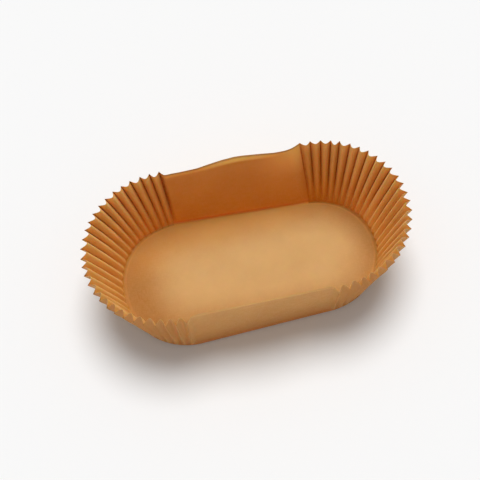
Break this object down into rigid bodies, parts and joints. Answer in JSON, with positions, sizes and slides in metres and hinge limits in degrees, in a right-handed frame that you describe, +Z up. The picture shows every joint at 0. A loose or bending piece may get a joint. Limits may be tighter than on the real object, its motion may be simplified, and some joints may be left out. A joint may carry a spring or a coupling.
{
  "type": "loaf pan liner",
  "caption": "Pleated baking paper liner for a loaf pan: flat round-ended bottom, smooth long walls, pleated flared ends.",
  "frame": {"origin": "centre of the bottom's underside, on the surface that the liner stands on", "axes": "+Z up out of the liner's mouth, +X along its length, +Y across it towards one smooth long wall"},
  "size_m": [0.2198, 0.116, 0.0576],
  "materials": {
    "kraft_paper": "satin"
  },
  "bodies": {
    "root": {"liner": "kraft_paper"}
  },
  "joints": []
}
